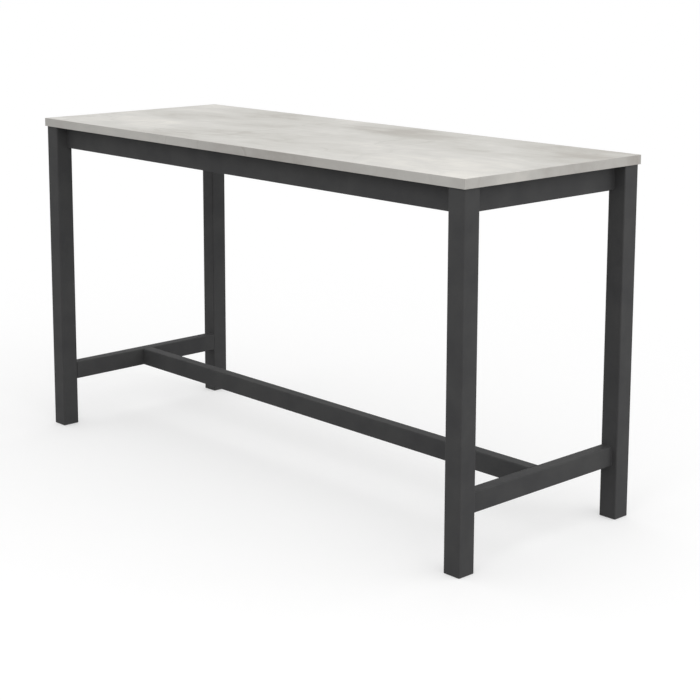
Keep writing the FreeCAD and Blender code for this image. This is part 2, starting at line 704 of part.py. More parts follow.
def make_levelling_stud(corner, x, y):
    """A threaded stud with a flange at its foot and a hexagon socket under it.

    The body's origin is on the underside of the flange.
    """
    label = f"foot_stud_{corner}"
    stud = body_named(label)
    top = "sizes.stud_top - sizes.flange_base"
    section = sketch_on(stud, "XZ", f"{label}_section")
    draw_outline(section, [
        ("0", "0"), ("sizes.flange_radius", "0"),
        ("sizes.flange_radius", "sizes.flange_height"),
        ("sizes.stud_radius", "sizes.flange_height"),
        ("sizes.stud_radius", f"{top} - sizes.stud_chamfer"),
        ("sizes.stud_radius - sizes.stud_chamfer", top), ("0", top),
    ])
    revolve(stud, section)
    socket = stud.newObject("PartDesign::SubtractivePrism", f"{label}_socket")
    socket.Polygon = HEXAGON
    bind(socket, Circumradius="sizes.key_radius", Height="sizes.key_depth")
    place(stud, x, y, "sizes.flange_base")


def make_levelling_pad(corner, x, y):
    """A round pad on the floor, with a groove inside that the stud's flange turns in."""
    label = f"foot_pad_{corner}"
    foot = body_named(label)
    groove = "sizes.flange_radius + sizes.swivel_clearance"
    groove_base = "sizes.flange_base - sizes.swivel_clearance"
    groove_top = "sizes.flange_base + sizes.flange_height + sizes.swivel_clearance"
    mouth = "sizes.stud_radius + sizes.swivel_clearance"
    section = sketch_on(foot, "XZ", f"{label}_section")
    draw_outline(section, [
        ("sizes.pad_hole", "0"), ("sizes.pad_radius", "0"),
        ("sizes.pad_radius", "sizes.pad_height - sizes.pad_bevel"),
        ("sizes.pad_radius - sizes.pad_bevel", "sizes.pad_height"),
        (mouth, "sizes.pad_height"), (mouth, groove_top),
        (groove, groove_top), (groove, groove_base),
        ("sizes.pad_hole", groove_base),
    ])
    revolve(foot, section)
    place(foot, x, y)


def make_feet():
    """In each leg: the plug, the bush in its boss, the stud and the pad."""
    for corner, side_x, side_y, _ in CORNERS:
        x = signed(side_x, LEG_MID_X)
        y = signed(side_y, LEG_MID_Y)
        make_leg_plug(corner, x, y)
        bush = sleeve(f"bush_{corner}", "sizes.bush_radius",
                      "sizes.stud_radius + sizes.stud_fit", "sizes.bush_length", x, y,
                      "sizes.plug_base + sizes.plug_floor")
        keep(bush, f"foot_bush_{corner}")
        make_levelling_stud(corner, x, y)
        make_levelling_pad(corner, x, y)


# ---------------------------------------------------------------- the whole table

def check_document():
    """Stop if any object failed to compute or any sub-part has no sound shape."""
    for item in doc.Objects:
        if "Invalid" in item.State or "Error" in item.State:
            raise RuntimeError(f"{item.Label} failed: {item.State}")
    for item in sub_parts:
        if item.Shape.isNull() or not item.Shape.isValid():
            raise RuntimeError(f"{item.Label} has no sound shape")


def write_parts():
    """Write each sub-part to a file of its own name."""
    os.makedirs("parts", exist_ok=True)
    for item in sub_parts:
        item.Shape.exportStep(f"parts/{item.Label}.step")
        print(f"{item.Label}: {len(item.Shape.Solids)} solid(s), {item.Shape.Volume:.0f} mm3")
    print(f"{len(sub_parts)} sub-parts")


make_board()
make_edge_bands()
make_legs()
make_top_rails()
make_centre_brace()
make_low_frame()
make_spigots()
make_corner_brackets()
make_fixing_tabs()
make_top_screws()
make_bracket_bolts()
make_stretcher_screws()
make_feet()
doc.recompute()
check_document()
write_parts()
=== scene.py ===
# %% [markdown]
# # A standing meeting table
# A tall table for short meetings: a board with a pale concrete-look laminate on a frame of square
# steel tube, powder-coated in charcoal. The shapes of the board and of the tubes come ready from
# the imported model. This file gives them their finishes, and models by hand the small pieces whose
# shape makes them read as real: screws, bent brackets, welds and levelling feet.
#
# The first cell clears the scene and loads the frame.

# %% Load the frame
import json
import math

import bmesh
import bpy
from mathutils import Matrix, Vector

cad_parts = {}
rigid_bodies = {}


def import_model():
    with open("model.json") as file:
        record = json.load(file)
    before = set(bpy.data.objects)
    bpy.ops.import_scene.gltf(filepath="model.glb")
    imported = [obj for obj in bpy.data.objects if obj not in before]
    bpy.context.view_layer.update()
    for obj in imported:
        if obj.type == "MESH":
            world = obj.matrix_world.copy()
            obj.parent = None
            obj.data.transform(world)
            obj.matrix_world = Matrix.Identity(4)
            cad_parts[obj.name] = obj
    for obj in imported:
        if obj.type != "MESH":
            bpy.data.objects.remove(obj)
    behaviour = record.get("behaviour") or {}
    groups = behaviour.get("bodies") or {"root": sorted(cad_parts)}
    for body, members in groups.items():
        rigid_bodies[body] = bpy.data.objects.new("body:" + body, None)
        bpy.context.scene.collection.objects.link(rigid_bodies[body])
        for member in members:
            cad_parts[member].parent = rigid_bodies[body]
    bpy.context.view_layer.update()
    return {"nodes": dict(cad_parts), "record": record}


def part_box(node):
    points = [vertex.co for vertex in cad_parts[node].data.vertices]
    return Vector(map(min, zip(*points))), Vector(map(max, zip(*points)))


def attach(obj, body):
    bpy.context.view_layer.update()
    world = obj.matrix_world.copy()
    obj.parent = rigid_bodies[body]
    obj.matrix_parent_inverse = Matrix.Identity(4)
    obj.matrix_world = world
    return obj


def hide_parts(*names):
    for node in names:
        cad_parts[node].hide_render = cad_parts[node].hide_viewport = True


for leftover in list(bpy.data.objects):
    bpy.data.objects.remove(leftover)

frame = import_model()
MM = 0.001

# %% [markdown]
# ## Where things are
# Everything that is placed later is placed from the frame's own boxes, so that a change of size
# there moves the screws and welds with it. The legs tell where the inner corners of the frame
# are, and the board's backing tells the level of its underside.

# %% Measure the frame
leg_low, leg_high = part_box("leg_front_right")
inner_x = leg_low.x
inner_y = -leg_high.y
leg_middle = Vector(((leg_low.x + leg_high.x) / 2, -(leg_low.y + leg_high.y) / 2, 0))
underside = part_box("top_backing_laminate")[0].z

# For each corner of the table, the signs of X and Y.
CORNERS = {
    "front_left": (-1, -1),
    "front_right": (1, -1),
    "rear_right": (1, 1),
    "rear_left": (-1, 1),
}
print("inner corners of the legs in mm:", round(inner_x / MM, 1), round(inner_y / MM, 1))

# %% [markdown]
# ## Camera
# The table is seen from beyond its right front corner and from a little above the top, which
# keeps the top a slim bright sliver. The lens is fairly long, so the far legs shrink only a
# little. The camera could be aimed at the middle of the table, but then the legs would lean
# apart. It is tilted by only nine degrees, so they stay nearly upright, and a small shift of the
# lens centres the table in the picture.

# %% Place the camera
CAMERA_PLACE = (3.8557, -3.4465, 1.7035)
CAMERA_TURNS = (80.62, -0.1977, 46.9309)
FOCAL_LENGTH = 83.55
LENS_SHIFT = (-0.0042, -0.1972)
SENSOR_WIDTH = 36

bpy.ops.object.camera_add(location=CAMERA_PLACE,
                          rotation=[math.radians(turn) for turn in CAMERA_TURNS])
camera = bpy.context.object
camera.name = "camera"
camera.data.sensor_width = SENSOR_WIDTH
camera.data.lens = FOCAL_LENGTH
camera.data.shift_x, camera.data.shift_y = LENS_SHIFT
bpy.context.scene.camera = camera
print("camera at", [round(value, 2) for value in camera.location])

# %% [markdown]
# ## Tools for materials
# Every finish below is a small tree of nodes. It could be built one line per setting and link,
# but each tree is easier to read when one tool builds it all: a function that adds a node, sets
# it and links it. Beside it stand a function that turns the sRGB hex value of a paint chart into
# the linear numbers that a shader expects, and one that turns a size in millimetres into the
# scale of a texture.

# %% Helpers: colours, sizes and nodes
def linear(code):
    """A colour for a shader from its sRGB hex value."""
    parts = [int(code[place:place + 2], 16) / 255 for place in (1, 3, 5)]
    curve = [part / 12.92 if part <= 0.04045 else ((part + 0.055) / 1.055) ** 2.4
             for part in parts]
    return (*curve, 1)


def per_metre(millimetres):
    """The scale of a texture whose features are this large."""
    return 1 / (millimetres * MM)


def add(material, kind, inputs=None, stops=(), **settings):
    """Add a node. An input is a plain value, a node's output, or a node, whose first output is
    meant. Stops are the positions and hex values along a colour ramp."""
    tree = material.node_tree
    node = tree.nodes.new(kind)
    for name, setting in settings.items():
        setattr(node, name, setting)
    for number, (position, code) in enumerate(stops):
        if number >= len(node.color_ramp.elements):
            node.color_ramp.elements.new(1.0)
        node.color_ramp.elements[number].position = position
        node.color_ramp.elements[number].color = linear(code)
    for socket, given in (inputs or {}).items():
        if isinstance(given, bpy.types.Node):
            given = given.outputs[0]
        if isinstance(given, bpy.types.NodeSocket):
            tree.links.new(given, node.inputs[socket])
        else:
            node.inputs[socket].default_value = given
    return node


print("middle grey, #808080, is", round(linear("#808080")[0], 3), "to a shader")

# %% [markdown]
# ### Opening and closing a material
# Every tree starts with the place on the object, which its patterns read, and ends with its
# shader. The ends could be written out each time, but most finishes close alike: one pattern
# picks the colour along a ramp, and another, often finer one sets the shine and the relief.

# %% Helpers: open and close a material
def start_material(name):
    """A material with only a node that tells places on the object, and that place."""
    material = bpy.data.materials.new(name)
    material.use_nodes = True
    material.node_tree.nodes.clear()
    return material, add(material, "ShaderNodeTexCoord").outputs["Object"]


def end_material(material, inputs):
    """Close a tree with its shader and its output."""
    shader = add(material, "ShaderNodeBsdfPrincipled", inputs)
    add(material, "ShaderNodeOutputMaterial", {"Surface": shader})
    print("material:", material.name, "with", len(material.node_tree.nodes), "nodes")
    return material


def end_patterned(material, tone, stops, grain, roughness, relief=None, others=None):
    """Close a tree whose tone picks a colour and whose grain sets roughness and relief.

    Roughness is given from smooth to rough, relief as its strength and its depth in mm, and
    others as inputs of the shader.
    """
    inputs = dict(others or {})
    inputs["Base Color"] = add(material, "ShaderNodeValToRGB", {"Fac": tone}, stops)
    inputs["Roughness"] = add(material, "ShaderNodeMapRange", {
        "Value": grain, "To Min": roughness[0], "To Max": roughness[1]})
    if relief:
        inputs["Normal"] = add(material, "ShaderNodeBump", {
            "Height": grain, "Strength": relief[0], "Distance": relief[1] * MM})
    return end_material(material, inputs)


trial = end_material(start_material("trial")[0], {"Roughness": 0.5})
bpy.data.materials.remove(trial)

# %% [markdown]
# ## Concrete-look laminate
# The face of the board is a high-pressure laminate: sheets of paper soaked in resin and pressed
# hard, the top one printed with a picture of trowelled concrete. The print gives the eye wide
# soft clouds a few hands across, drawn out along the board; fainter mottles a few centimetres
# wide; long, thin trowel marks that fade in and out; and a few hairlines. An image could be laid
# over the board, but it would blur close up and show its edges. So clouds, mottles and marks are
# noise, read from a place that is itself pushed about by noise, so that their edges wander as
# wet cement does. A hairline is a contour of a wide noise: a thin line where the noise crosses
# one value.

# %% The printed concrete
CLOUD_SIZE = 380
CLOUD_STRETCH = (0.62, 1.35, 1.0)
WANDER_SIZE = 300
WANDER_REACH = (0.22, 0.12, 0.05)
MOTTLE_SIZE = 70
TROWEL_LENGTH = 520
TROWEL_WIDTH = 26
HAIRLINE_SIZE = 260
HAIRLINE_STEP = 0.012


def pushed_about(material, place):
    """A place that wanders by up to WANDER_REACH metres each way."""
    wander = add(material, "ShaderNodeTexNoise", {
        "Vector": place, "Scale": per_metre(WANDER_SIZE), "Detail": 2.0})
    centred = add(material, "ShaderNodeVectorMath", {
        0: wander.outputs["Color"], 1: (0.5, 0.5, 0.5)}, operation="SUBTRACT")
    return add(material, "ShaderNodeVectorMath", {
        0: centred, 1: WANDER_REACH, 2: place}, operation="MULTIPLY_ADD")


def hairlines(material, place):
    """Thin lines, 1 on the line and 0 beside it, that show only here and there."""
    field = add(material, "ShaderNodeTexNoise", {
        "Vector": place, "Scale": per_metre(HAIRLINE_SIZE), "Detail": 1.5})
    line = add(material, "ShaderNodeMath", {0: field, 1: 0.5, 2: HAIRLINE_STEP},
               operation="COMPARE")
    seen = add(material, "ShaderNodeTexNoise", {
        "Vector": place, "Scale": per_metre(2 * HAIRLINE_SIZE), "Detail": 0.0})
    fade = add(material, "ShaderNodeMapRange", {"Value": seen, "From Min": 0.52, "From Max": 0.66})
    return add(material, "ShaderNodeMath", {0: line, 1: fade}, operation="MULTIPLY")


def layered(material, layers):
    """The sum of several values, each times its share."""
    total = 0.0
    for value, share in layers:
        total = add(material, "ShaderNodeMath", {0: value, 1: share, 2: total},
                    operation="MULTIPLY_ADD")
    return total


def concrete_print(material, place):
    """The printed concrete, from about 0.35 dark to 0.65 light."""
    pushed = pushed_about(material, place)
    drawn = add(material, "ShaderNodeMapping", {"Vector": pushed, "Scale": CLOUD_STRETCH})
    clouds = add(material, "ShaderNodeTexNoise", {
        "Vector": drawn, "Scale": per_metre(CLOUD_SIZE), "Detail": 5.0, "Roughness": 0.55})
    mottles = add(material, "ShaderNodeTexNoise", {
        "Vector": pushed, "Scale": per_metre(MOTTLE_SIZE), "Detail": 6.0, "Roughness": 0.6})
    swept = add(material, "ShaderNodeMapping", {
        "Vector": pushed, "Rotation": (0, 0, math.radians(3)),
        "Scale": (per_metre(TROWEL_LENGTH), per_metre(TROWEL_WIDTH), per_metre(TROWEL_WIDTH))})
    trowel = add(material, "ShaderNodeTexNoise", {
        "Vector": swept, "Scale": 1.0, "Detail": 4.0, "Roughness": 0.6})
    return layered(material, [(clouds, 0.69), (mottles, 0.19), (trowel, 0.12),
                              (hairlines(material, pushed), -0.05)])


print("clouds of the print in mm:", [round(CLOUD_SIZE / part) for part in CLOUD_STRETCH[:2]])

# %% [markdown]
# ### Patches of the face
# On this board the face is lightest round the front right corner, partly from the print's own light
# cloud and partly from a painted pool of light, and the print is darkest along the opposite side.
# Such broad drifts are too wide for the noise, so they are placed one by one: each is a ball of
# influence that fades out from its middle, squashed, turned, and read from the same wandering place
# as the clouds, so that none of them looks round. The sheet itself is dead matt, with a fine paper
# grain of about a millimetre, drawn at more than twice that so that it shows.

# %% Material: laminate face
# For each patch: its middle, from the middle of the board, and its reach along and across, both in
# mm; its turn in degrees; and how much it lightens the face, by the print and, in the first patch,
# also by painted light.
PRINT_AND_LIGHT_PATCHES = [
    # The first patch, round the front right corner, is partly the print's light cloud and partly a
    # painted pool of light.
    ((860, -300), (540, 330), 0, 0.20),
    ((620, -120), (480, 130), -8, 0.04),
    ((-560, -270), (380, 200), -10, 0.05),
    ((-380, 40), (420, 150), 0, 0.05),
    ((110, 290), (330, 210), -30, -0.08),
    ((400, 210), (520, 180), -12, -0.07),
    ((-500, 240), (380, 230), 0, -0.09),
    ((860, 240), (320, 240), 0, -0.08),
    ((-860, 150), (240, 260), 0, 0.05),
]
PAPER_GRAIN = 2.5
face_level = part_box("top_face_laminate")[1].z


def soft_patch(material, place, middle, reach, turn):
    """A patch that is 1 in its middle and 0 from its reach outwards."""
    centred = add(material, "ShaderNodeMapping", {
        "Vector": place, "Location": (middle[0] * MM, middle[1] * MM, face_level),
        "Rotation": (0, 0, math.radians(turn)), "Scale": (reach[0] * MM, reach[1] * MM, 1)},
        vector_type="TEXTURE")
    ball = add(material, "ShaderNodeTexGradient", {"Vector": centred}, gradient_type="SPHERICAL")
    return add(material, "ShaderNodeMapRange", {"Value": ball.outputs["Fac"]},
               interpolation_type="SMOOTHSTEP")


def end_printed_sheet(material, place, shade, stops):
    """Close the material of a matt sheet or band that carries the print."""
    grain = add(material, "ShaderNodeTexNoise", {
        "Vector": place, "Scale": per_metre(PAPER_GRAIN), "Detail": 3.0})
    return end_patterned(material, shade, stops, grain, (0.52, 0.68), relief=(0.25, 0.05),
                         others={"Specular IOR Level": 0.3})


material, place = start_material("matt_laminate_print_and_painted_light")
pushed = pushed_about(material, place)
layers = [(concrete_print(material, place), 1.0)]
# The patches add the print's broad drifts, and round the front right corner a painted pool of
# light.
for middle, reach, turn, light in PRINT_AND_LIGHT_PATCHES:
    layers.append((soft_patch(material, pushed, middle, reach, turn), light))
laminate_face = end_printed_sheet(material, place, layered(material, layers), [
    (0.34, "#B9B5AE"), (0.45, "#CCCAC4"), (0.54, "#D6D4CF"), (0.70, "#EAE7E0")])

# %% [markdown]
# ## Edge band
# The sides of the board are closed with an ABS band, a strip of plastic that is printed to match
# the face and glued on hot. It could carry on the pattern of the face, as solid concrete would.
# A real band never does, because face and band come from different rolls. So it has the same
# print, a little darker, from another place in the pattern.

# %% Material: edge band
BAND_START = (3.1, 1.7, 0.4)

material, place = start_material("printed_abs_edge_band")
moved = add(material, "ShaderNodeMapping", {"Vector": place, "Location": BAND_START})
edge_band = end_printed_sheet(material, place, concrete_print(material, moved), [
    (0.34, "#A9A59F"), (0.45, "#BBB8B3"), (0.54, "#C3C1BC"), (0.66, "#D0CDC7")])

# %% [markdown]
# ## Backing sheet
# Below, the board is closed with a plain laminate that keeps it from warping. It could be one
# flat grey, but under a lamp such a sheet is never quite even, so a wide faint noise stands for
# the marks of the press, and the grain of the paper breaks up its shine.

# %% Material: backing laminate
PRESS_MARK = 45

material, place = start_material("matt_backing_laminate")
marks = add(material, "ShaderNodeTexNoise", {
    "Vector": place, "Scale": per_metre(PRESS_MARK), "Detail": 5.0})
grain = add(material, "ShaderNodeTexNoise", {
    "Vector": place, "Scale": per_metre(PAPER_GRAIN), "Detail": 2.0})
backing_laminate = end_patterned(material, marks, [(0.3, "#C6C4BF"), (0.7, "#CFCDC8")],
                                 grain, (0.5, 0.65), relief=(0.3, 0.08),
                                 others={"Specular IOR Level": 0.3})

# %% [markdown]
# ## Particle board
# Between the sheets is particle board: resin-bound chips of softwood a few millimetres long, tan,
# in many tones. It is hidden once the board is whole, but a part taken off the table should
# still look like what it is. Noise would make it look like cork. Each cell of a Voronoi pattern
# has a hard edge and a tone of its own, as a chip has.

# %% Material: particle board
CHIP_SIZE = 4

material, place = start_material("raw_particle_board")
flat = add(material, "ShaderNodeMapping", {"Vector": place, "Scale": (1.0, 1.0, 2.2)})
chips = add(material, "ShaderNodeTexVoronoi", {
    "Vector": flat, "Scale": per_metre(CHIP_SIZE), "Randomness": 1.0})
tone = add(material, "ShaderNodeSeparateColor", {"Color": chips.outputs["Color"]})
board_core = end_material(material, {
    "Base Color": add(material, "ShaderNodeValToRGB", {"Fac": tone}, [
        (0.0, "#9C7C52"), (0.4, "#BC9C6E"), (0.75, "#CDB084"), (1.0, "#DAC49C")]),
    "Roughness": 0.85,
    "Specular IOR Level": 0.2,
    "Normal": add(material, "ShaderNodeBump", {
        "Height": chips, "Strength": 0.5, "Distance": 0.3 * MM}),
})

# %% [markdown]
# ## Powder coat
# The steel is sprayed with charged charcoal powder and baked, and the melted film keeps a fine
# orange-peel texture. That gives the eye a neutral dark grey that is matt from every side, with
# only a weak broad shine, and a very slight unevenness where the powder lay thicker. The peel
# could be modelled, at a cost of millions of faces; a bump does as well at this size. The real
# peel is about half a millimetre across; it is drawn at a little over a millimetre, because a
# finer one would not show.

# %% Material: powder-coated steel
PEEL_SIZE = 1.3
FILM_SIZE = 90

material, place = start_material("charcoal_powder_coat")
film = add(material, "ShaderNodeTexNoise", {
    "Vector": place, "Scale": per_metre(FILM_SIZE), "Detail": 4.0})
peel = add(material, "ShaderNodeTexNoise", {
    "Vector": place, "Scale": per_metre(PEEL_SIZE), "Detail": 2.0})
speckle = layered(material, [(film, 1.0), (peel, 0.3)])
frame_steel = end_patterned(material, speckle, [(0.45, "#434344"), (0.85, "#4B4B4B")],
                            peel, (0.55, 0.75), relief=(0.35, 0.12),
                            others={"Specular IOR Level": 0.12})

# %% [markdown]
# ## Bright zinc plate
# Screws, nuts and levelling studs are steel with a thin coat of zinc and a clear, slightly blue
# passivation. It is a metal to the shader, silvery and a little cool. One even roughness would
# make it look like chrome, so a soft noise a few millimetres wide, like the clouds that the
# plating bath leaves, changes both its colour and its shine a little.

# %% Material: zinc plate
BATH_PATCH = 3

material, place = start_material("bright_zinc_plate")
clouds = add(material, "ShaderNodeTexNoise", {
    "Vector": place, "Scale": per_metre(BATH_PATCH), "Detail": 3.0})
zinc_hardware = end_patterned(material, clouds, [(0.3, "#B9BEC3"), (0.7, "#D0D3D5")],
                              clouds, (0.24, 0.42), others={"Metallic": 1.0})

# %% [markdown]
# ## Moulded nylon
# The plugs and pads in the legs are injection-moulded in black nylon. The mould was spark
# eroded, so the skin has a fine, even pebble, with a low sheen where it catches the light.
# Noise would look like rough casting; the round cells of a Voronoi pattern look pebbled. A real
# pebble is a tenth of a millimetre across; it is drawn at eight tenths so that it shows.

# %% Material: nylon
PEBBLE_SIZE = 0.8

material, place = start_material("black_moulded_nylon")
pebble = add(material, "ShaderNodeTexVoronoi", {
    "Vector": place, "Scale": per_metre(PEBBLE_SIZE)})
foot_plastic = end_patterned(material, pebble, [(0.1, "#161617"), (0.8, "#1E1E1F")],
                             pebble, (0.4, 0.55), relief=(0.3, 0.05), others={"IOR": 1.53})

# %% [markdown]
# ## Dress the frame
# The record names a material slot for every node. Each node could be given its finish by name,
# but the slots say it already, so one table from slot to finish dresses them all, and nothing
# about the nodes' shapes changes.

# %% Give every node its finish
FINISHES = {
    "concrete_laminate": laminate_face,
    "edge_band": edge_band,
    "backing_laminate": backing_laminate,
    "board_core": board_core,
    "frame_steel": frame_steel,
    "zinc_hardware": zinc_hardware,
    "foot_plastic": foot_plastic,
}

for part in frame["record"]["subparts"]:
    mesh = frame["nodes"][part["node"]].data
    mesh.materials.clear()
    mesh.materials.append(FINISHES[part["material_slot"]])

# %% [markdown]
# ## Tools for modelling
# The small pieces are modelled as one would by hand: start from a simple shape, select some of
# it, extrude, bevel or spin it, and finish with a modifier. An operator acts on everything that
# is selected, so each helper first clears the selection and then selects exactly what it means.

# %% Helpers: select
def deselect():
    """Leave edit mode and select nothing."""
    if bpy.context.object and bpy.context.object.mode == "EDIT":
        bpy.ops.object.mode_set(mode="OBJECT")
    bpy.ops.object.select_all(action="DESELECT")


def choose(*pieces):
    """Select only these pieces. The first is the active one."""
    deselect()
    for piece in pieces:
        piece.select_set(True)
    bpy.context.view_layer.objects.active = pieces[0]


def edit(piece):
    """Open one piece in edit mode with all of it selected."""
    choose(piece)
    bpy.ops.object.mode_set(mode="EDIT")
    bpy.ops.mesh.select_mode(type="VERT")
    bpy.ops.mesh.select_all(action="SELECT")


def pick(piece, kind, wanted):
    """Select VERT, EDGE or FACE items whose middle and direction pass a test.

    The direction is the normal of a vertex or a face, and the way an edge runs.
    """
    bpy.ops.mesh.select_mode(type=kind)
    bpy.ops.mesh.select_all(action="DESELECT")
    mesh = bmesh.from_edit_mesh(piece.data)
    mesh.normal_update()
    if kind == "VERT":
        found = [item for item in mesh.verts if wanted(item.co, item.normal)]
    elif kind == "EDGE":
        found = []
        for item in mesh.edges:
            start, end = (vertex.co for vertex in item.verts)
            if wanted((start + end) / 2, (end - start).normalized()):
                found.append(item)
    else:
        found = [item for item in mesh.faces
                 if wanted(item.calc_center_median(), item.normal)]
    for item in found:
        item.select_set(True)
    mesh.select_flush_mode()
    bmesh.update_edit_mesh(piece.data)
    return len(found)


deselect()
print("selected after clearing:", len(bpy.context.selected_objects))

# %% [markdown]
# ### Shapes from points
# Most of the small pieces are plates, or are round about an axis. They could be built up from
# cubes and cylinders, but a real one starts as a drawing. So one vertex is extruded from point
# to point, as one draws a line by hand. A closed line is filled to make a flat outline, and a
# half section is spun round, as on a lathe.

# %% Helpers: draw a shape
MERGE_WITHIN = 0.005 * MM
LATHE_STEPS = 48


def named(name):
    """Name the piece that an operator has just made."""
    piece = bpy.context.object
    piece.name = name
    piece.data.name = name
    return piece


def close_up():
    """In edit mode, merge doubled vertices and point every face outwards."""
    bpy.ops.mesh.select_all(action="SELECT")
    bpy.ops.mesh.remove_doubles(threshold=MERGE_WITHIN)
    bpy.ops.mesh.normals_make_consistent(inside=False)


def pull(step):
    """Extrude what is selected by a step in metres."""
    bpy.ops.mesh.extrude_region_move(TRANSFORM_OT_translate={"value": step})


def chain(name, points):
    """One vertex, extruded from each point to the next, in millimetres. It stays in edit mode."""
    deselect()
    bpy.ops.mesh.primitive_plane_add(size=MM)
    piece = named(name)
    edit(piece)
    bpy.ops.mesh.merge(type="CENTER")
    before = Vector()
    for number, point in enumerate(points):
        step = Vector(point) * MM - before
        if number == 0:
            bpy.ops.transform.translate(value=step)
        else:
            pull(step)
        before = Vector(point) * MM
    return piece


def outline(name, points):
    """A flat face with these corners. It stays in edit mode."""
    piece = chain(name, [*points, points[0]])
    close_up()
    bpy.ops.mesh.edge_face_add()
    return piece


def lathe(name, profile, steps=LATHE_STEPS):
    """Turn a half section, given as radius and height, once about the Z axis."""
    piece = chain(name, [(radius, 0, height) for radius, height in profile])
    bpy.ops.mesh.select_all(action="SELECT")
    bpy.ops.mesh.spin(steps=steps, angle=math.tau, center=(0, 0, 0), axis=(0, 0, 1))
    close_up()
    deselect()
    return piece


def tell_faces(piece):
    """Print how many faces a piece has."""
    print(piece.name, "has", len(piece.data.polygons), "faces")


washer = lathe("sample_washer", [(3, 0), (6, 0), (6, 1), (3, 1), (3, 0)])
tell_faces(washer)
bpy.data.objects.remove(washer)

# %% [markdown]
# ### Cutting and rounding
# Holes are drilled and sharp edges are dulled as in a workshop, once the shape is there. A hole
# could be drawn into the outline, but a Boolean modifier with a bar as the drill leaves the
# drawing simple. No edge of a real piece is perfectly sharp, and a narrow Bevel gives each one
# the thin line of light that the eye expects.

# %% Helpers: cut and round
DRILL_SIDES = 24
EDGE_ROUND = 0.4
ROUND_STEPS = 2
SHARP_FROM = 40


def bar(name, sides, radius, bottom, top, place=(0, 0)):
    """An upright bar with this many sides, as a tool for cutting holes."""
    deselect()
    middle = (place[0] * MM, place[1] * MM, (bottom + top) / 2 * MM)
    bpy.ops.mesh.primitive_cylinder_add(vertices=sides, radius=radius * MM,
                                        depth=(top - bottom) * MM, location=middle)
    return named(name)


def apply_modifier(piece, kind, **settings):
    """Add a modifier, set it and apply it."""
    choose(piece)
    modifier = piece.modifiers.new(kind.lower(), kind)
    for name, setting in settings.items():
        setattr(modifier, name, setting)
    bpy.ops.object.modifier_apply(modifier=modifier.name)


def carve(piece, tool, operation="DIFFERENCE"):
    """Cut a tool out of a piece, or keep only what is inside it. The tool is used up."""
    apply_modifier(piece, "BOOLEAN", object=tool, operation=operation, solver="EXACT")
    bpy.data.objects.remove(tool)


def soften(piece, width):
    """Round the edges that turn by more than SHARP_FROM degrees. The width is in millimetres."""
    apply_modifier(piece, "BEVEL", width=width * MM, segments=ROUND_STEPS,
                   limit_method="ANGLE", angle_limit=math.radians(SHARP_FROM))


block = bar("sample_block", 4, 10, 0, 5)
carve(block, bar("sample_drill", DRILL_SIDES, 4, -1, 6))
soften(block, EDGE_ROUND)
tell_faces(block)
bpy.data.objects.remove(block)

# %% [markdown]
# ### Copies and finish
# What repeats is modelled once and copied. Copies could share one mesh, but each has to hold its
# own place in its mesh, with its object at the origin, so each gets a mesh of its own. The last
# step is the same for every piece: shading, the material for its slot, and the body that it moves
# with.

# %% Helpers: copy and finish
SMOOTH_BELOW = 38


def settle(piece):
    """Move the place, turn and size of a piece into its mesh, and its object to the origin."""
    choose(piece)
    bpy.ops.object.transform_apply(location=True, rotation=True, scale=True)


def join(*pieces):
    """Join pieces into the first one."""
    choose(*pieces)
    bpy.ops.object.join()
    return pieces[0]


def copy_of(piece, name, place=(0, 0, 0), turns=(0, 0, 0), signs=(1, 1)):
    """A copy with a mesh of its own, mirrored in X and Y by signs, turned and then moved."""
    choose(piece)
    bpy.ops.object.duplicate()
    copy = named(name)
    copy.location = place
    copy.rotation_euler = [math.radians(turn) for turn in turns]
    copy.scale = (*signs, 1)
    settle(copy)
    if signs[0] * signs[1] < 0:
        edit(copy)
        bpy.ops.mesh.normals_make_consistent(inside=False)
        deselect()
    return copy


def finish_piece(piece, slot, body="table", replaced=()):
    """Give a piece its finish and its shading, and the body that it moves with.

    Normals weighted by area keep large faces flat right up to the bevels beside them.
    """
    settle(piece)
    bpy.ops.object.shade_smooth_by_angle(angle=math.radians(SMOOTH_BELOW))
    apply_modifier(piece, "WEIGHTED_NORMAL", keep_sharp=True)
    piece.data.materials.clear()
    piece.data.materials.append(FINISHES[slot])
    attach(piece, body)
    if replaced:
        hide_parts(*replaced)


# %% [markdown]
# ### Places from the frame
# Some nodes hold several solids, such as all the screws of one kind. Their places could be typed
# in again, but then they would not follow a change of the frame. So a copy of the node is taken
# apart into its loose pieces, and each piece is measured.

# %% Helper: solids in a node
def solids_in(node):
    """The boxes of the separate solids in a node, measured on a copy that is then removed."""
    choose(frame["nodes"][node])
    bpy.ops.object.duplicate()
    bpy.ops.object.mode_set(mode="EDIT")
    close_up()
    bpy.ops.mesh.separate(type="LOOSE")
    bpy.ops.object.mode_set(mode="OBJECT")
    boxes = []
    for piece in list(bpy.context.selected_objects):
        places = [vertex.co for vertex in piece.data.vertices]
        low = Vector([min(place[axis] for place in places) for axis in range(3)])
        high = Vector([max(place[axis] for place in places) for axis in range(3)])
        boxes.append((low, high))
        bpy.data.objects.remove(piece)
    return sorted(boxes, key=lambda box: [round(value, 4) for value in box[0]])


print("separate screws under the top:", len(solids_in("top_screws")))

# %% [markdown]
# ## Threads
# A thread is a small tooth that climbs one pitch in every turn. It could be a bump on a plain
# rod, but then its outline would stay smooth, and it is the outline that shows. The tooth's
# outline, root, flank, crest and flank, is a chain of five points one pitch tall. A Screw
# modifier winds it up the axis, and each turn joins the one below. The ends would be ragged, so
# the rod is made a turn too long at each end, cut flat by two bisecting planes, and closed with a
# face at each cut. The helix starts a hundredth of a pitch off the whole turns, so that neither
# plane runs through its vertices.

# %% Helper: threaded rod
TOOTH_DEPTH = 0.6
THREAD_STEPS = 20
RUN_IN = 1.01
CUT_SLACK = 0.0001 * MM


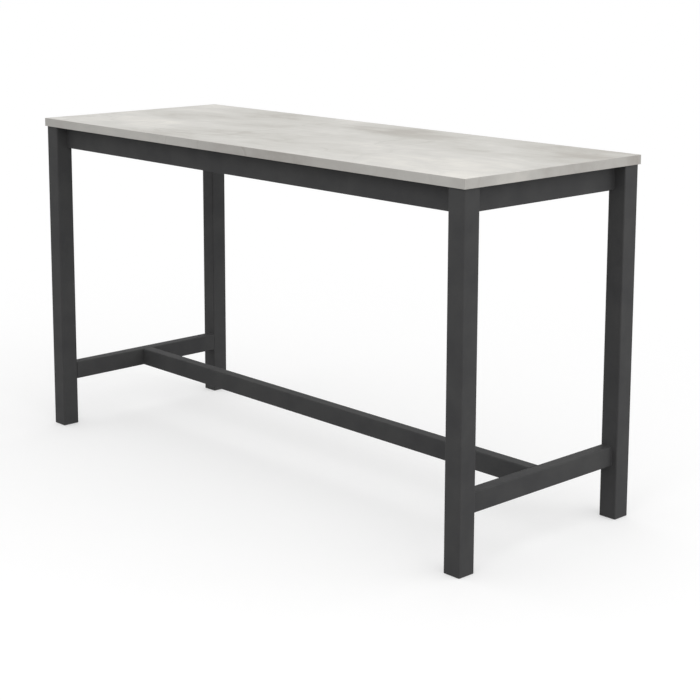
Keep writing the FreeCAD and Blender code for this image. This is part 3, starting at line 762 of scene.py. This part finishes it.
def threaded_rod(name, radius, pitch, bottom, top):
    """A rod with a real thread, from one height to another."""
    root = radius - TOOTH_DEPTH * pitch
    start = bottom - RUN_IN * pitch
    tooth = [(root, 0.0), (root, 0.2), (radius, 0.53), (radius, 0.67), (root, 1.0)]
    rod = chain(name, [(reach, 0, start + share * pitch) for reach, share in tooth])
    apply_modifier(rod, "SCREW", axis="Z", angle=math.tau, screw_offset=pitch * MM,
                   iterations=math.ceil((top - bottom) / pitch) + 2, steps=THREAD_STEPS,
                   render_steps=THREAD_STEPS, use_merge_vertices=True,
                   merge_threshold=MERGE_WITHIN)
    edit(rod)
    close_up()
    for level, way_out in ((bottom, -1), (top, 1)):
        bpy.ops.mesh.select_all(action="SELECT")
        bpy.ops.mesh.bisect(plane_co=(0, 0, level * MM), plane_no=(0, 0, way_out),
                            clear_outer=True, threshold=CUT_SLACK)
        bpy.ops.mesh.edge_face_add()
    close_up()
    deselect()
    return rod


sample = threaded_rod("sample_rod", 3, 1, 0, 5)
tell_faces(sample)
bpy.data.objects.remove(sample)

# %% [markdown]
# ## Button-head screws
# All the fasteners that can be seen are M6 button heads with a hexagon socket: a flat seat, a
# low dome, a small flat crown with the socket in it, and a threaded shank. The head could be a
# squashed ball, but its seat has to be flat. So it is turned on the lathe from a quarter ellipse.
# The socket is cut with a six-sided bar, and the shank is a threaded rod that starts inside the
# head. One short and one long screw are modelled, and every other screw is a copy.

# %% Model a screw
SEAT_RADIUS = 5.4
CROWN_RADIUS = 2.9
HEAD_HEIGHT = 3.3
SOCKET_RADIUS = 2.3
SOCKET_DEPTH = 2.0
SHANK_RADIUS = 3.0
SHANK_PITCH = 1.0
ROOT_IN_HEAD = 0.4
DOME_STEPS = 6
HEAD_STEPS = 32


def model_screw(name, length):
    """An M6 button-head screw: its seat is at height 0, and its shank points up."""
    dome = []
    for step in range(DOME_STEPS + 1):
        angle = math.radians(90) * step / DOME_STEPS
        reach = CROWN_RADIUS + (SEAT_RADIUS - CROWN_RADIUS) * math.cos(angle)
        dome.append((reach, -HEAD_HEIGHT * math.sin(angle)))
    head = lathe(name, [(0, 0), *dome, (0, -HEAD_HEIGHT)], HEAD_STEPS)
    carve(head, bar("socket", 6, SOCKET_RADIUS, -2 * HEAD_HEIGHT, SOCKET_DEPTH - HEAD_HEIGHT))
    shank = threaded_rod("shank", SHANK_RADIUS, SHANK_PITCH, -ROOT_IN_HEAD, length)
    screw = join(head, shank)
    tell_faces(screw)
    return screw


def screw_length(box):
    """How far a screw reaches past its seat, in millimetres."""
    return round(max(box[1] - box[0]) / MM - HEAD_HEIGHT, 2)


short_screw = model_screw("short_screw", screw_length(solids_in("top_screws")[0]))
long_screw = model_screw("long_screw", screw_length(solids_in("brace_screws")[0]))

# %% [markdown]
# ## Put the screws in
# Each screw takes the place of its solid in the frame. All could be kept as one piece, but a
# real screw comes out alone, so each copy stays a piece of its own. The solid's box gives the
# seat. Most screws stand upright with their heads down. The bolts in the corner brackets lie
# flat and point outwards, into the long rails, so they are laid over to the front or the rear.

# %% Place the screws
def place_screws(node, model, sideways=False):
    """A copy of a screw for every solid of a node."""
    for number, (low, high) in enumerate(solids_in(node), start=1):
        middle = (low + high) / 2
        if sideways:
            side = 1 if middle.y > 0 else -1
            seat = (middle.x, min(low.y, high.y, key=abs) + side * HEAD_HEIGHT * MM, middle.z)
            turns = (-90 * side, 0, 0)
        else:
            seat = (middle.x, middle.y, low.z + HEAD_HEIGHT * MM)
            turns = (0, 0, 0)
        screw = copy_of(model, f"{node}_{number}", seat, turns)
        finish_piece(screw, "zinc_hardware", replaced=[node])
    print(node, "->", number, "copies")


place_screws("top_screws", short_screw)
place_screws("stretcher_screws", short_screw)
place_screws("bracket_bolts", short_screw, sideways=True)
place_screws("brace_screws", long_screw)
bpy.data.objects.remove(short_screw)
bpy.data.objects.remove(long_screw)

# %% [markdown]
# ## Corner brackets
# Each top corner is held by a bent plate: a web under the board with one hole, and two flanges
# bent down along the rails. The plate is cut flat, with a notch where the bends would meet, and
# folded in a press, so its bends are round and its corners are clipped. It could be cut out of
# a block, but it is easier to make it as the press does. The outside skin comes first: the web
# is drawn as an outline, two of its edges are extruded down, and the bends are bevelled. A
# Solidify modifier then gives the skin its thickness inwards.

# %% Model a corner bracket
PLATE = 3
ARM = 100
DROP = 60
NOTCH = 6
BEND_RADIUS = 4.5
BEND_STEPS = 5
CLIPPED_CORNER = 8
ROUNDING_STEPS = 4
SCREW_HOLE = 3.5
WEB_HOLE = 45
BOLT_PLACES = (35, 80)
BOLT_DROP = 40


def near(value, wanted, slack=0.02):
    """True if a length in metres is this many millimetres."""
    return abs(value / MM - wanted) < slack


def x_bend(middle, way):
    """True for the web's edge along X, where the first flange is bent down."""
    return near(middle.z, 0) and near(middle.y, 0) and abs(way.x) > 0.99


def y_bend(middle, way):
    """True for the web's edge along Y, where the second flange is bent down."""
    return near(middle.z, 0) and near(middle.x, 0) and abs(way.y) > 0.99


def model_bracket(name):
    """A bracket whose flanges run along +X and +Y from an inner corner at the origin."""
    bracket = outline(name, [(NOTCH, 0, 0), (ARM, 0, 0), (ARM, PLATE, 0), (PLATE, ARM, 0),
                             (0, ARM, 0), (0, NOTCH, 0)])
    for bend in (x_bend, y_bend):
        pick(bracket, "EDGE", bend)
        pull((0, 0, -DROP * MM))
    pick(bracket, "VERT", lambda place, normal: near(place.z, -DROP) and (
        near(place.x, ARM) or near(place.y, ARM)))
    bpy.ops.mesh.bevel(offset=CLIPPED_CORNER * MM, affect="VERTICES", segments=ROUNDING_STEPS)
    pick(bracket, "EDGE", lambda middle, way: x_bend(middle, way) or y_bend(middle, way))
    bpy.ops.mesh.bevel(offset=BEND_RADIUS * MM, segments=BEND_STEPS)
    bpy.ops.mesh.select_all(action="SELECT")
    bpy.ops.mesh.normals_make_consistent(inside=False)
    mesh = bmesh.from_edit_mesh(bracket.data)
    if max(mesh.faces, key=lambda face: face.calc_area()).normal.z < -0.5:
        bpy.ops.mesh.flip_normals()
    deselect()
    apply_modifier(bracket, "SOLIDIFY", thickness=PLATE * MM, offset=-1)
    carve(bracket, bar("web_hole", DRILL_SIDES, SCREW_HOLE, -2 * PLATE, PLATE,
                       (WEB_HOLE, WEB_HOLE)))
    for place in BOLT_PLACES:
        drill = bar("bolt_hole", DRILL_SIDES, SCREW_HOLE, -2 * PLATE, 2 * PLATE)
        hole = copy_of(drill, "turned_hole", (place * MM, 0, -BOLT_DROP * MM), (90, 0, 0))
        bpy.data.objects.remove(drill)
        carve(bracket, hole)
    soften(bracket, EDGE_ROUND)
    tell_faces(bracket)
    return bracket


bracket_model = model_bracket("bracket_model")
for corner, (side_x, side_y) in CORNERS.items():
    bracket = copy_of(bracket_model, f"bent_bracket_{corner}",
                      (side_x * inner_x, side_y * inner_y, underside),
                      signs=(-side_x, -side_y))
    finish_piece(bracket, "frame_steel", replaced=[f"corner_bracket_{corner}"])
bpy.data.objects.remove(bracket_model)

# %% [markdown]
# ## Fixing tabs
# Between the brackets the board is held by small plates welded to the rails. They are sheared
# from strip: two clipped corners on the free side, one hole, edges dulled in a tumbling drum. A
# bevelled cube would have all its corners clipped, so the plate is drawn, clipped and extruded.

# %% Model the fixing tabs
TAB_HOLE = 15
TAB_CORNER = 7


def model_tab(name, length, reach):
    """A tab that lies against a rail on the X axis and points along +Y."""
    tab = outline(name, [(-length / 2, 0, 0), (length / 2, 0, 0), (length / 2, reach, 0),
                         (-length / 2, reach, 0)])
    pick(tab, "VERT", lambda place, normal: near(place.y, reach))
    bpy.ops.mesh.bevel(offset=TAB_CORNER * MM, affect="VERTICES", segments=ROUNDING_STEPS)
    bpy.ops.mesh.select_all(action="SELECT")
    pull((0, 0, -PLATE * MM))
    close_up()
    deselect()
    carve(tab, bar("tab_hole", DRILL_SIDES, SCREW_HOLE, -2 * PLATE, PLATE, (0, TAB_HOLE)))
    soften(tab, EDGE_ROUND)
    tell_faces(tab)
    return tab


# For each tab, the turn that brings its back against the rail, from the side that it points to.
tab_low, tab_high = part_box("fixing_tab_front_left")
tab_model = model_tab("tab_model", (tab_high.x - tab_low.x) / MM, (tab_high.y - tab_low.y) / MM)
for tab_name, turn in (("front_left", 0), ("front_right", 0), ("rear_left", 180),
                       ("rear_right", 180), ("left", 270), ("right", 90)):
    low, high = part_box(f"fixing_tab_{tab_name}")
    middle = (low + high) / 2
    back = {0: (middle.x, low.y), 180: (middle.x, high.y),
            270: (low.x, middle.y), 90: (high.x, middle.y)}[turn]
    tab = copy_of(tab_model, f"tab_{tab_name}", (*back, underside), (0, 0, turn))
    finish_piece(tab, "frame_steel", replaced=[f"fixing_tab_{tab_name}"])
bpy.data.objects.remove(tab_model)

# %% [markdown]
# ## Weld beads
# The end frames are MIG-welded before they are coated. Where two faces meet in a corner, the
# weld leaves a slim fillet with a ripple every three millimetres, softened by the coating.
# Where the faces are flush, the weld is ground flat and can't be seen. A bead could be a bump in
# the coating, but then the corner behind it would stay sharp. So it is a thin rod that lies in
# the corner, half of it sunk in the steel: it is subdivided along its length, and every other
# ring is drawn in a little.

# %% Model the weld beads
BEAD_RADIUS = 1.9
BEAD_SIDES = 8
RING_GAP = 1.6
RIPPLE_DEPTH = 0.8
BEAD_END = 0.55


def weld_bead(name, start, end):
    """A rippled rod from one point to another along X, Y or Z, in metres."""
    way = Vector(end) - Vector(start)
    length = way.length
    rings = 2 * max(2, round(length / MM / RING_GAP / 2))
    deselect()
    bpy.ops.mesh.primitive_cylinder_add(vertices=BEAD_SIDES, radius=BEAD_RADIUS * MM, depth=length)
    bead = named(name)
    edit(bead)
    pick(bead, "EDGE", lambda middle, direction: abs(direction.z) > 0.99)
    bpy.ops.mesh.subdivide(number_cuts=rings - 1)
    gap = length / rings

    def drawn_in(place, normal):
        return round((place.z + length / 2) / gap) % 2 == 1

    pick(bead, "VERT", drawn_in)
    bpy.ops.transform.resize(value=(RIPPLE_DEPTH, RIPPLE_DEPTH, 1))
    pick(bead, "VERT", lambda place, normal: abs(place.z) > length / 2 - gap / 2)
    bpy.ops.transform.resize(value=(BEAD_END, BEAD_END, 1))
    deselect()
    bead.rotation_mode = "QUATERNION"
    bead.rotation_quaternion = way.to_track_quat("Z", "Y")
    bead.location = (Vector(start) + Vector(end)) / 2
    settle(bead)
    return bead


def weld_group(name, lines):
    """Beads along several lines, joined into one piece."""
    beads = [weld_bead(f"{name}_{number}", *line) for number, line in enumerate(lines)]
    group = join(*beads)
    group.name = name
    group.data.name = name
    finish_piece(group, "frame_steel")
    return len(group.data.polygons)


sample = weld_bead("sample_bead", (0, 0, 0), (30 * MM, 0, 0))
tell_faces(sample)
bpy.data.objects.remove(sample)

# %% [markdown]
# ### Where the welds run
# At each leg: across the top and the underside of the low end rail and up its outer side, across
# the underside of the end rail above and up its outer side, and along the bracket's flange where
# it lies on that rail. Each end could be welded on its own, but the four corners are alike, so
# the lines are written for one and mirrored by the signs of the others.

# %% Weld the end frames
TUBE_CORNER = 4
# Round a bracket's flange: how far below the board the seam beside it runs, and how far the seam
# under it stays from the flange's two ends.
SIDE_SEAM = (12, 45)
LOWER_SEAM = (15, 25)
end_low, end_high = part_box("top_rail_right")
foot_low, foot_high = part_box("low_rail_right")


def across(low, high, level):
    """A line across the upper or lower face of a rail, where it meets the leg."""
    clear = TUBE_CORNER * MM
    return (low.x + clear, inner_y, level), (high.x - clear, inner_y, level)


def upright(low, high):
    """A line up the outer face of a rail, where it meets the leg."""
    clear = TUBE_CORNER * MM
    return (high.x, inner_y, low.z + clear), (high.x, inner_y, high.z - clear)


def corner_lines():
    """Start and end of each weld at the right rear leg."""
    flange = inner_y - ARM * MM
    return [
        across(foot_low, foot_high, foot_high.z),
        across(foot_low, foot_high, foot_low.z),
        upright(foot_low, foot_high),
        across(end_low, end_high, end_low.z),
        upright(end_low, end_high),
        ((inner_x, flange, underside - SIDE_SEAM[1] * MM),
         (inner_x, flange, underside - SIDE_SEAM[0] * MM)),
        ((inner_x, flange + LOWER_SEAM[0] * MM, underside - DROP * MM),
         (inner_x, inner_y - LOWER_SEAM[1] * MM, underside - DROP * MM)),
    ]


faces = 0
for corner, (side_x, side_y) in CORNERS.items():
    lines = [[(side_x * x, side_y * y, z) for x, y, z in line] for line in corner_lines()]
    faces += weld_group(f"welds_{corner}", lines)
print("faces in the corner welds:", faces)

# %% [markdown]
# ### Welds of the tabs
# Each tab has one bead under it, along the rail that carries it. A second one above would keep
# the board from lying flat, so there is none.

# %% Weld the tabs
TAB_WELD = 30
level = underside - PLATE * MM
half = TAB_WELD * MM / 2
tab_lines = []
for name, side_y in (("front", -1), ("rear", 1)):
    for end in ("left", "right"):
        low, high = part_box(f"fixing_tab_{name}_{end}")
        middle = (low.x + high.x) / 2
        tab_lines.append(((middle - half, side_y * inner_y, level),
                          (middle + half, side_y * inner_y, level)))
for side_x in (-1, 1):
    tab_lines.append(((side_x * inner_x, -half, level), (side_x * inner_x, half, level)))
print("faces in the tab welds:", weld_group("welds_tabs", tab_lines))

# %% [markdown]
# ## Levelling feet
# In the mouth of every leg sits a nylon plug with a steel bush, and a threaded stud runs through
# it to a round pad on the floor. The pad is moulded: rounded edges, a groove inside that the
# stud's flange turns in, and notches round its side so that fingers can grip it. The notches
# could be cut with 24 small tools. But the lathe leaves 48 upright faces round the side, so every
# other one is pushed in.

# %% Model the pads
PAD_RADIUS = 23
NOTCH_DEPTH = 0.7
NOTCH_MARGIN = 0.35
PAD_STEPS = 48
PAD_SECTION = [
    (4.5, 0), (22.3, 0), (22.8, 0.2), (PAD_RADIUS, 0.8), (PAD_RADIUS, 5.4), (22.6, 6.4),
    (21.6, 7.3), (20.4, 7.7), (5.9, 7.7), (5.4, 7.5), (5.15, 7.0), (5.15, 5.25), (9.15, 5.25),
    (9.15, 1.95), (4.5, 1.95), (4.5, 0),
]


def model_pad(name):
    """A pad on the floor, about the Z axis."""
    pad = lathe(name, PAD_SECTION, PAD_STEPS)
    edit(pad)
    sector = math.tau / PAD_STEPS

    def notched(middle, normal):
        number = int((math.atan2(middle.y, middle.x) % math.tau) / sector)
        outer = math.hypot(middle.x, middle.y) > (PAD_RADIUS - NOTCH_DEPTH) * MM
        return outer and abs(normal.z) < 0.1 and number % 2 == 0

    pick(pad, "FACE", notched)
    bpy.ops.mesh.inset(use_individual=True, thickness=NOTCH_MARGIN * MM,
                       depth=-NOTCH_DEPTH * MM)
    deselect()
    tell_faces(pad)
    return pad


def spread_to_legs(model, name, slot, body, node):
    """A copy of a foot's piece for every leg. Body and node get the corner's name."""
    for corner, (side_x, side_y) in CORNERS.items():
        copy = copy_of(model, f"{name}_{corner}",
                       (side_x * leg_middle.x, side_y * leg_middle.y, 0))
        finish_piece(copy, slot, body.format(corner), [node.format(corner)])
    bpy.data.objects.remove(model)


spread_to_legs(model_pad("pad_model"), "levelling_pad", "foot_plastic", "pad_{}",
               "foot_pad_{}")

# %% [markdown]
# ## Levelling studs
# The stud is an M10 rod with a real thread, a flange that the pad holds, and a hexagon socket
# for the key that turns it from below. Its top is chamfered so that it starts in the bush. A
# bevel would follow every turn of the thread, so the rod is kept only where it lies inside a bar
# with a chamfered end.

# %% Model the studs
STUD_RADIUS = 4.95
STUD_PITCH = 1.5
ROD_BOTTOM = 7.4
STUD_TOP = 44
TIP_HEIGHT = 6
TIP_DEPTH = 1.1
FLANGE_SECTION = [
    (0, 2.1), (8.7, 2.1), (9, 2.4), (9, 4.8), (8.7, 5.1), (4.8, 5.1), (4.0, 5.9), (4.0, 7.8),
    (0, 7.8),
]
KEY_RADIUS = 2.89
KEY_TOP = 6.1


def model_stud(name):
    """A levelling stud about the Z axis, with its flange just above the floor."""
    flange = lathe(name, FLANGE_SECTION)
    carve(flange, bar("key_socket", 6, KEY_RADIUS, -PLATE, KEY_TOP))
    rod = threaded_rod("rod", STUD_RADIUS, STUD_PITCH, ROD_BOTTOM, STUD_TOP)
    tip = lathe("tip", [(0, 0), (2 * STUD_RADIUS, 0), (2 * STUD_RADIUS, STUD_TOP - TIP_HEIGHT),
                        (STUD_RADIUS - TIP_DEPTH, STUD_TOP), (0, STUD_TOP)])
    carve(rod, tip, "INTERSECT")
    stud = join(flange, rod)
    tell_faces(stud)
    return stud


spread_to_legs(model_stud("stud_model"), "levelling_stud", "zinc_hardware", "stud_{}",
               "foot_stud_{}")

# %% [markdown]
# ## Leg plugs
# The plug is an open box pushed into the tube: thin walls, a thicker floor, a boss round the
# bush, and four ribs that carry the load from the boss to the walls. The box could be an inset
# block, but an inset as wide as its corners are round would fold over. So it is a rounded block
# with a smaller rounded block carved out of it. Boss and ribs are added to it.

# %% Model the plugs
PLUG_SIDE = 56
PLUG_BASE = 8
PLUG_TOP = 30
PLUG_FLOOR = 13
PLUG_WALL = 3
PLUG_CORNER = 3
PLUG_ROUND = 0.5
STUD_HOLE = 5.5
STUD_HOLE_SIDES = 32
BUSH_RADIUS = 8
BOSS_RADIUS = 12
RIB_THICK = 2.4
RIB_TOP = 26
# Boss and ribs are sunk this far in the floor, and the ribs this far in the walls.
FLOOR_SINK = 1
WALL_SINK = 0.5
RIB_START = 10.5
root = PLUG_FLOOR - FLOOR_SINK
BOSS_SECTION = [(BUSH_RADIUS, root), (BOSS_RADIUS, root), (BOSS_RADIUS, PLUG_TOP - PLUG_ROUND),
                (BOSS_RADIUS - PLUG_ROUND, PLUG_TOP), (BUSH_RADIUS, PLUG_TOP),
                (BUSH_RADIUS, root)]


def rounded_block(name, width, bottom, top):
    """A square block with rounded upright corners, about the Z axis."""
    side = width / 2
    block = outline(name, [(-side, -side, bottom), (side, -side, bottom), (side, side, bottom),
                           (-side, side, bottom)])
    bpy.ops.mesh.select_mode(type="VERT")
    bpy.ops.mesh.select_all(action="SELECT")
    bpy.ops.mesh.bevel(offset=PLUG_CORNER * MM, affect="VERTICES", segments=ROUNDING_STEPS)
    bpy.ops.mesh.select_all(action="SELECT")
    pull((0, 0, (top - bottom) * MM))
    close_up()
    deselect()
    return block


def model_plug(name):
    """A leg plug about the Z axis."""
    plug = rounded_block(name, PLUG_SIDE, PLUG_BASE, PLUG_TOP)
    carve(plug, rounded_block("cavity", PLUG_SIDE - 2 * PLUG_WALL, PLUG_FLOOR, PLUG_TOP + 1))
    carve(plug, bar("stud_hole", STUD_HOLE_SIDES, STUD_HOLE, 0, PLUG_TOP))
    soften(plug, PLUG_ROUND)
    boss = lathe("boss", BOSS_SECTION)
    rib_end = PLUG_SIDE / 2 - PLUG_WALL + WALL_SINK
    ribs = []
    for turn in range(4):
        bpy.ops.mesh.primitive_cube_add(size=1)
        rib = named("rib")
        rib.scale = ((rib_end - RIB_START) * MM, RIB_THICK * MM, (RIB_TOP - root) * MM)
        rib.location = ((rib_end + RIB_START) / 2 * MM, 0, (RIB_TOP + root) / 2 * MM)
        settle(rib)
        soften(rib, EDGE_ROUND)
        rib.rotation_euler.z = math.radians(90 * turn)
        settle(rib)
        ribs.append(rib)
        deselect()
    plug = join(plug, boss, *ribs)
    tell_faces(plug)
    return plug


spread_to_legs(model_plug("plug_model"), "leg_plug", "foot_plastic", "table", "foot_plug_{}")

# %% [markdown]
# ## Studio
# The table stands on a wide floor under a white sky. The floor could be painted white, but it
# would throw so much light up that the charcoal legs turned pale. So it throws back under a third
# of the light that falls on it, as a carpet would. To the camera, and in reflections, its paint is
# paler, and it also glows, just as much as it needs to look white where nothing shades it. It
# melts into the sky and leaves only the table's soft shadow.

# %% Floor and sky
FLOOR_SIZE = 200
FLOOR_BOUNCE = 0.3
FLOOR_SHOWN = 0.6
FLOOR_GLOW = 0.44
SKY_LIGHT = 0.87


def seen_by_viewers(material):
    """1 for what the camera sees, directly, in a reflection or through glass."""
    path = add(material, "ShaderNodeLightPath")
    seen = 0.0
    for name in ("Is Camera Ray", "Is Glossy Ray", "Is Transmission Ray"):
        seen = add(material, "ShaderNodeMath", {0: path.outputs[name], 1: seen},
                   operation="MAXIMUM")
    return seen


deselect()
bpy.ops.mesh.primitive_plane_add(size=FLOOR_SIZE)
floor = named("studio_floor")
floor_paint = start_material("studio_floor_paint")[0]
seen = seen_by_viewers(floor_paint)
paleness = add(floor_paint, "ShaderNodeMapRange", {
    "Value": seen, "To Min": FLOOR_BOUNCE, "To Max": FLOOR_SHOWN})
matt = add(floor_paint, "ShaderNodeBsdfDiffuse", {"Color": paleness})
strength = add(floor_paint, "ShaderNodeMath", {0: seen, 1: FLOOR_GLOW}, operation="MULTIPLY")
glow = add(floor_paint, "ShaderNodeEmission", {"Strength": strength})
both = add(floor_paint, "ShaderNodeAddShader", {0: matt, 1: glow})
add(floor_paint, "ShaderNodeOutputMaterial", {"Surface": both})
floor.data.materials.append(floor_paint)

sky = bpy.data.worlds.new("studio_sky")
bpy.context.scene.world = sky
sky.use_nodes = True
sky.node_tree.nodes.clear()
lit = add(sky, "ShaderNodeBackground", {"Color": (1, 1, 1, 1), "Strength": SKY_LIGHT})
white = add(sky, "ShaderNodeBackground", {"Color": (1, 1, 1, 1), "Strength": 1.0})
mixed = add(sky, "ShaderNodeMixShader", {0: seen_by_viewers(sky), 1: lit, 2: white})
add(sky, "ShaderNodeOutputWorld", {"Surface": mixed})
print("floor and sky are in place")

# %% [markdown]
# ## Lamps
# The white sky does most of the work, as in a bright room with pale walls. It could do it all,
# but then the front and the side of a leg would be one flat grey. A wide, soft light from the
# right, like a row of windows, makes the right-hand faces a little lighter than the front ones.
# Two soft panels help it: one in front keeps the front faces from going flat, and a low one
# beyond the far right leg draws a thin light line down the rounded corners of the tubes.

# %% Place the lamps
WINDOW_FROM = (1.0, 0.0, 0.35)
WINDOW_POWER = 0.6
WINDOW_SPREAD = 60
FRONT_PLACE = (1.4, -2.2, 2.3)
FRONT_AIM = (0.8, -0.4, 1.2)
FRONT_SIZE = 1.0
FRONT_POWER = 7
REAR_PLACE = (2.6, 1.4, 1.1)
REAR_AIM = (1.0, 0.2, 0.7)
REAR_SIZE = 0.8
REAR_POWER = 4.5


def lamp(name, kind, place, aim, power, **settings):
    """A lamp at one point that shines on another."""
    turn = (Vector(aim) - Vector(place)).to_track_quat("-Z", "Y").to_euler()
    bpy.ops.object.light_add(type=kind, location=place, rotation=turn)
    light = bpy.context.object
    light.name = name
    light.data.energy = power
    for setting, value in settings.items():
        setattr(light.data, setting, value)
    print("lamp:", name, "power", power)


deselect()
lamp("window_light", "SUN", WINDOW_FROM, (0, 0, 0), WINDOW_POWER,
     angle=math.radians(WINDOW_SPREAD))
lamp("front_panel", "AREA", FRONT_PLACE, FRONT_AIM, FRONT_POWER, size=FRONT_SIZE)
lamp("rear_panel", "AREA", REAR_PLACE, REAR_AIM, REAR_POWER, size=REAR_SIZE)

bpy.context.scene.view_settings.view_transform = "Standard"
print("view transform:", bpy.context.scene.view_settings.view_transform)
